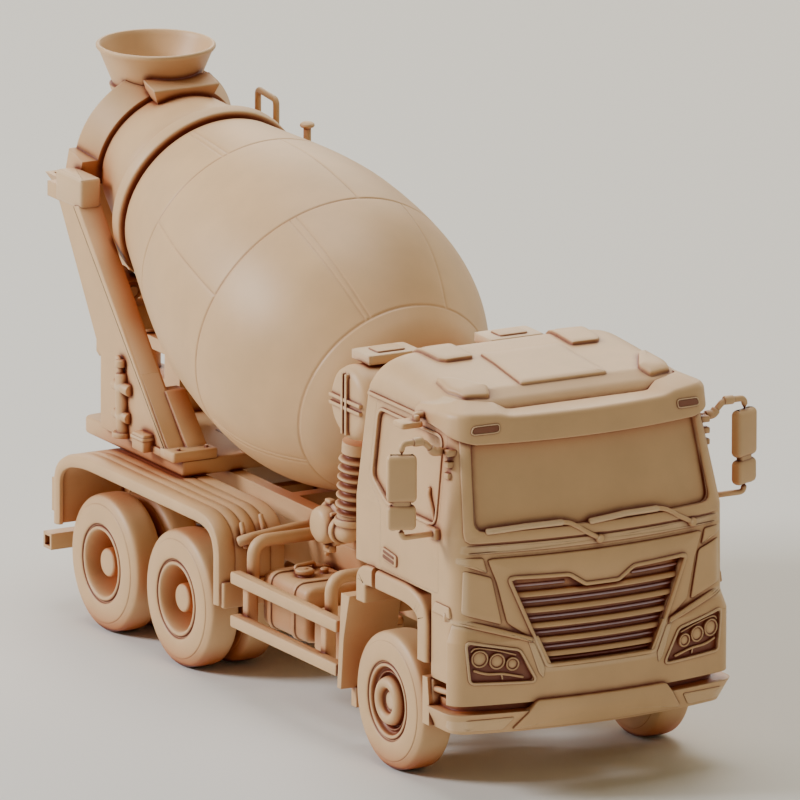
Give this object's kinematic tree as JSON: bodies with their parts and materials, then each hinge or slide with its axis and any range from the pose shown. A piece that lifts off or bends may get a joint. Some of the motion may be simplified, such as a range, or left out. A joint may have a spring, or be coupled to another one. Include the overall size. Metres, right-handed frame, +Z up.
{
  "type": "concrete mixer truck scale model",
  "caption": "One-colour 1:50 display model of a forward-control concrete mixer truck: rolling and steering wheels, turning drum on support rollers and a swivelling discharge chute.",
  "frame": {"origin": "bottom centre of the bounding box, on the floor the wheels stand on", "axes": "+Z up, the truck faces -Y, its right side is -X"},
  "size_m": [0.0652, 0.1562, 0.087],
  "materials": {
    "tan_resin": "matte, unpainted print resin"
  },
  "bodies": {
    "truck": {"air_cleaner": "tan_resin", "battery_box": "tan_resin", "bogie_springs": "tan_resin", "bumper": "tan_resin", "cab_floor": "tan_resin", "cab_shell": "tan_resin", "cab_steps": "tan_resin", "chassis_frame": "tan_resin", "chute_post": "tan_resin", "discharge_trough": "tan_resin", "door_panes": "tan_resin", "doors": "tan_resin", "drum_drive": "tan_resin", "drum_hood": "tan_resin", "engine_gearbox": "tan_resin", "front_axle_beam": "tan_resin", "front_mudguards": "tan_resin", "front_panel": "tan_resin", "front_pedestal": "tan_resin", "front_springs": "tan_resin", "fuel_tank": "tan_resin", "grille": "tan_resin", "hand_rail": "tan_resin", "headlamps": "tan_resin", "hopper": "tan_resin", "intake_hose": "tan_resin", "ladder": "tan_resin", "lower_bumper": "tan_resin", "mirrors": "tan_resin", "mixer_deck": "tan_resin", "mixer_subframe": "tan_resin", "mud_flaps": "tan_resin", "propshaft": "tan_resin", "rear_axles": "tan_resin", "rear_mudguards": "tan_resin", "rear_pedestal": "tan_resin", "roof": "tan_resin", "side_guards": "tan_resin", "sun_visor": "tan_resin", "tail_lamp_panel": "tan_resin", "tank_stand": "tan_resin", "tow_coupling": "tan_resin", "underrun_bar": "tan_resin", "vent_pipe": "tan_resin", "water_tank": "tan_resin", "windscreen": "tan_resin", "wipers": "tan_resin"},
    "steering_right": {"steering_knuckle_right": "tan_resin"},
    "steering_left": {"steering_knuckle_left": "tan_resin"},
    "track_rod": {"track_rod": "tan_resin"},
    "front_wheel_right": {"front_wheel_right": "tan_resin"},
    "front_wheel_left": {"front_wheel_left": "tan_resin"},
    "drum": {"drum": "tan_resin"},
    "roller_right": {"drum_roller_right": "tan_resin"},
    "roller_left": {"drum_roller_left": "tan_resin"},
    "chute": {"swivel_chute": "tan_resin"},
    "rear_wheels_1_right": {"rear_wheels_1_right": "tan_resin"},
    "rear_wheels_1_left": {"rear_wheels_1_left": "tan_resin"},
    "rear_wheels_2_right": {"rear_wheels_2_right": "tan_resin"},
    "rear_wheels_2_left": {"rear_wheels_2_left": "tan_resin"}
  },
  "joints": [
    {"name": "steer_right", "type": "hinge", "parent": "truck", "child": "steering_right", "pos_m": [-0.0162, -0.05305, 0.011], "axis": [0, 0, 1], "range_deg": [-16, 16]},
    {"name": "front_wheel_spin_right", "type": "hinge", "parent": "steering_right", "child": "front_wheel_right", "pos_m": [-0.0246, -0.05305, 0.011], "axis": [1, 0, 0], "continuous": true},
    {"name": "rear_wheels_spin_1_right", "type": "hinge", "parent": "truck", "child": "rear_wheels_1_right", "pos_m": [-0.0238, 0.01675, 0.011], "axis": [1, 0, 0], "continuous": true},
    {"name": "rear_wheels_spin_2_right", "type": "hinge", "parent": "truck", "child": "rear_wheels_2_right", "pos_m": [-0.0238, 0.04135, 0.011], "axis": [1, 0, 0], "continuous": true},
    {"name": "steer_left", "type": "hinge", "parent": "truck", "child": "steering_left", "pos_m": [0.0162, -0.05305, 0.011], "axis": [0, 0, 1], "range_deg": [-16, 16]},
    {"name": "front_wheel_spin_left", "type": "hinge", "parent": "steering_left", "child": "front_wheel_left", "pos_m": [0.0246, -0.05305, 0.011], "axis": [1, 0, 0], "continuous": true},
    {"name": "rear_wheels_spin_1_left", "type": "hinge", "parent": "truck", "child": "rear_wheels_1_left", "pos_m": [0.0238, 0.01675, 0.011], "axis": [1, 0, 0], "continuous": true},
    {"name": "rear_wheels_spin_2_left", "type": "hinge", "parent": "truck", "child": "rear_wheels_2_left", "pos_m": [0.0238, 0.04135, 0.011], "axis": [1, 0, 0], "continuous": true},
    {"name": "track_rod_slide", "type": "slide", "parent": "truck", "child": "track_rod", "axis": [1, 0, 0], "range_m": [-0.00126, 0.00126]},
    {"name": "drum_spin", "type": "hinge", "parent": "truck", "child": "drum", "pos_m": [0, -0.01305, 0.0462], "axis": [0, 0.9568, 0.2907], "continuous": true},
    {"name": "roller_spin_right", "type": "hinge", "parent": "truck", "child": "roller_right", "pos_m": [-0.01205, 0.05447, 0.0517], "axis": [0, 0.9568, 0.2907], "continuous": true},
    {"name": "roller_spin_left", "type": "hinge", "parent": "truck", "child": "roller_left", "pos_m": [0.01205, 0.05447, 0.0517], "axis": [0, 0.9568, 0.2907], "continuous": true},
    {"name": "chute_swivel", "type": "hinge", "parent": "truck", "child": "chute", "pos_m": [0, 0.06855, 0.04], "axis": [0, 0, 1], "range_deg": [-75, 75]}
  ],
  "couplings": [
    {"joint": "steer_left", "follows": "steer_right", "ratio": 1},
    {"joint": "track_rod_slide", "follows": "steer_right", "m_per_rad": -0.0045},
    {"joint": "roller_spin_right", "follows": "drum_spin", "ratio": -7.087},
    {"joint": "roller_spin_left", "follows": "drum_spin", "ratio": -7.087}
  ]
}
